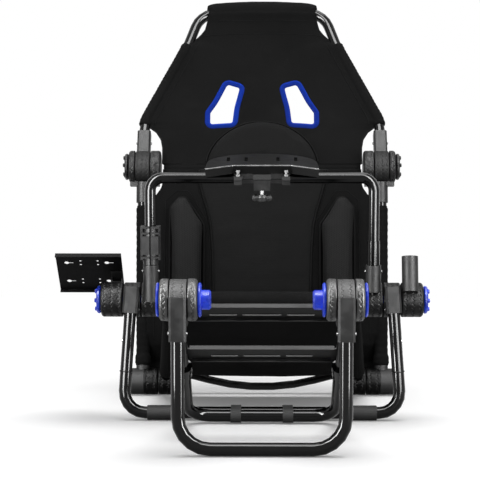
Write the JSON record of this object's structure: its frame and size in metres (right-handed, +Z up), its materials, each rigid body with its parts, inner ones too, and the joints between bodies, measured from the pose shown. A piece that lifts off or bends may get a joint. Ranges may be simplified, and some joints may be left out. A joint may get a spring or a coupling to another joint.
{
  "type": "folding racing seat",
  "caption": "Folding racing simulator seat: black fabric sling seat and reclining back on a zigzag tube frame with round hubs, wheel deck, pedal plates and shifter plate.",
  "frame": {"origin": "centre of the whole cockpit's footprint, on the floor", "axes": "+Z up; the driver looks towards -Y, where the pedals are; the shifter plate is on the -X side"},
  "size_m": [0.778, 1.0786, 0.9207],
  "materials": {
    "frame_tube": "gloss",
    "socket": "satin",
    "hub": "matte",
    "knob": "satin",
    "sheet": "satin",
    "zinc": "satin",
    "rubber": "matte",
    "sling": "matte",
    "mesh": "matte",
    "trim": "matte"
  },
  "bodies": {
    "middle_frame": {"middle_leg_hoop": "frame_tube", "middle_leg_collar_left": "socket", "middle_leg_collar_right": "socket", "foot_pad_left": "rubber", "foot_pad_right": "rubber", "floor_bar_clip_left": "rubber", "floor_bar_clip_right": "rubber"},
    "middle_knob_left": {"middle_hub_knob_left": "knob"},
    "middle_knob_right": {"middle_hub_knob_right": "knob"},
    "snap_left": {"snap_button_left": "zinc"},
    "snap_right": {"snap_button_right": "zinc"},
    "mast": {"mast_collar_left": "hub", "mast_collar_right": "hub", "mast_tube_left": "frame_tube", "mast_tube_right": "frame_tube", "mast_clamp": "socket"},
    "wheel_frame": {"wheel_hoop": "frame_tube"},
    "wheel_deck": {"deck_plate": "sheet", "deck_saddle": "socket", "deck_jaw": "socket"},
    "wing_knob": {"deck_knob": "rubber"},
    "shifter_arm": {"shifter_collar_left": "hub", "shifter_post": "frame_tube"},
    "shifter_head": {"shifter_bracket": "sheet", "shifter_plate": "sheet"},
    "spare_socket": {"shifter_collar_right": "hub"},
    "seat": {"seat_front_bar": "hub", "seat_rail_left": "frame_tube", "seat_rail_right": "frame_tube", "seat_rear_bar": "frame_tube", "seat_cover": "sling"},
    "lower_back": {"back_rail_left": "frame_tube", "back_rail_right": "frame_tube", "upper_hub_fork_left": "hub", "upper_hub_fork_right": "hub", "lower_back_cover": "sling", "side_bolster_left": "mesh", "side_bolster_right": "mesh"},
    "upper_knob_left": {"upper_hub_knob_left": "hub"},
    "upper_knob_right": {"upper_hub_knob_right": "hub"},
    "upper_back": {"backrest_hoop": "frame_tube", "upper_collar_left": "hub", "upper_collar_right": "hub", "upper_back_cover": "sling", "hole_rim_left": "trim", "hole_rim_right": "trim"},
    "pedal_base": {"pedal_hoop": "frame_tube"},
    "pedal_head": {"pedal_rail_left": "frame_tube", "pedal_rail_right": "frame_tube", "front_hub_fork_left": "hub", "front_hub_fork_right": "hub", "pedal_plate_upper": "sheet", "pedal_plate_lower": "sheet"},
    "front_leg": {"front_leg_hoop": "frame_tube", "front_leg_collar_left": "socket", "front_leg_collar_right": "socket"},
    "front_knob_left": {"front_hub_knob_left": "knob", "front_hub_cap_left": "knob"},
    "front_knob_right": {"front_hub_knob_right": "knob", "front_hub_cap_right": "knob"}
  },
  "joints": [
    {"name": "mast_tilt", "type": "hinge", "parent": "middle_frame", "child": "mast", "pos_m": [0.041, -0.0734, 0.245], "axis": [-1, 0, 0], "range_deg": [-60, 40]},
    {"name": "wheel_height", "type": "slide", "parent": "mast", "child": "wheel_frame", "axis": [0, -0.0698, 0.9976], "range_m": [0, 0.06]},
    {"name": "deck_tilt", "type": "hinge", "parent": "wheel_frame", "child": "wheel_deck", "pos_m": [0.041, -0.12125, 0.49928], "axis": [-1, 0, 0], "range_deg": [-20, 25]},
    {"name": "wing_knob_turn", "type": "hinge", "parent": "wheel_deck", "child": "wing_knob", "pos_m": [0.041, -0.1179, 0.45922], "axis": [0, -0.1822, 0.9833], "continuous": true},
    {"name": "shifter_swing", "type": "hinge", "parent": "middle_frame", "child": "shifter_arm", "pos_m": [0.041, -0.0734, 0.245], "axis": [-1, 0, 0], "range_deg": [-20, 30]},
    {"name": "shifter_tilt", "type": "hinge", "parent": "shifter_arm", "child": "shifter_head", "pos_m": [-0.265, -0.0414, 0.2785], "axis": [-1, 0, 0], "range_deg": [-15, 20]},
    {"name": "spare_socket_swing", "type": "hinge", "parent": "middle_frame", "child": "spare_socket", "pos_m": [0.041, -0.0734, 0.245], "axis": [-1, 0, 0], "range_deg": [-40, 40]},
    {"name": "middle_knob_left_turn", "type": "hinge", "parent": "middle_frame", "child": "middle_knob_left", "pos_m": [-0.299, -0.0734, 0.245], "axis": [1, 0, 0], "continuous": true},
    {"name": "middle_knob_right_turn", "type": "hinge", "parent": "middle_frame", "child": "middle_knob_right", "pos_m": [0.381, -0.0734, 0.245], "axis": [1, 0, 0], "continuous": true},
    {"name": "seat_fold", "type": "hinge", "parent": "middle_frame", "child": "seat", "pos_m": [0.041, -0.0734, 0.245], "axis": [1, 0, 0], "range_deg": [0, 33]},
    {"name": "hip_fold", "type": "hinge", "parent": "seat", "child": "lower_back", "pos_m": [0.041, 0.2496, 0.03], "axis": [-1, 0, 0], "range_deg": [-25, 20]},
    {"name": "backrest_recline", "type": "hinge", "parent": "lower_back", "child": "upper_back", "pos_m": [0.041, 0.3286, 0.525], "axis": [-1, 0, 0], "range_deg": [-80, 30]},
    {"name": "upper_knob_left_turn", "type": "hinge", "parent": "lower_back", "child": "upper_knob_left", "pos_m": [-0.276, 0.3286, 0.525], "axis": [1, 0, 0], "continuous": true},
    {"name": "upper_knob_right_turn", "type": "hinge", "parent": "lower_back", "child": "upper_knob_right", "pos_m": [0.358, 0.3286, 0.525], "axis": [1, 0, 0], "continuous": true},
    {"name": "pedal_fold", "type": "hinge", "parent": "middle_frame", "child": "pedal_base", "pos_m": [0.041, -0.1634, 0.0156], "axis": [-1, 0, 0], "range_deg": [0, 30]},
    {"name": "pedal_reach", "type": "slide", "parent": "pedal_base", "child": "pedal_head", "axis": [0, -0.7816, 0.6238], "range_m": [0, 0.08]},
    {"name": "front_leg_fold", "type": "hinge", "parent": "pedal_head", "child": "front_leg", "pos_m": [0.041, -0.4934, 0.279], "axis": [-1, 0, 0], "range_deg": [-45, 60]},
    {"name": "front_knob_left_turn", "type": "hinge", "parent": "pedal_head", "child": "front_knob_left", "pos_m": [-0.069, -0.4934, 0.279], "axis": [1, 0, 0], "continuous": true},
    {"name": "front_knob_right_turn", "type": "hinge", "parent": "pedal_head", "child": "front_knob_right", "pos_m": [0.151, -0.4934, 0.279], "axis": [1, 0, 0], "continuous": true},
    {"name": "snap_left_press", "type": "slide", "parent": "middle_frame", "child": "snap_left", "axis": [1, 0, 0], "range_m": [0, 0.003], "stiffness_N_per_m": 300},
    {"name": "snap_right_press", "type": "slide", "parent": "middle_frame", "child": "snap_right", "axis": [-1, 0, 0], "range_m": [0, 0.003], "stiffness_N_per_m": 300}
  ]
}
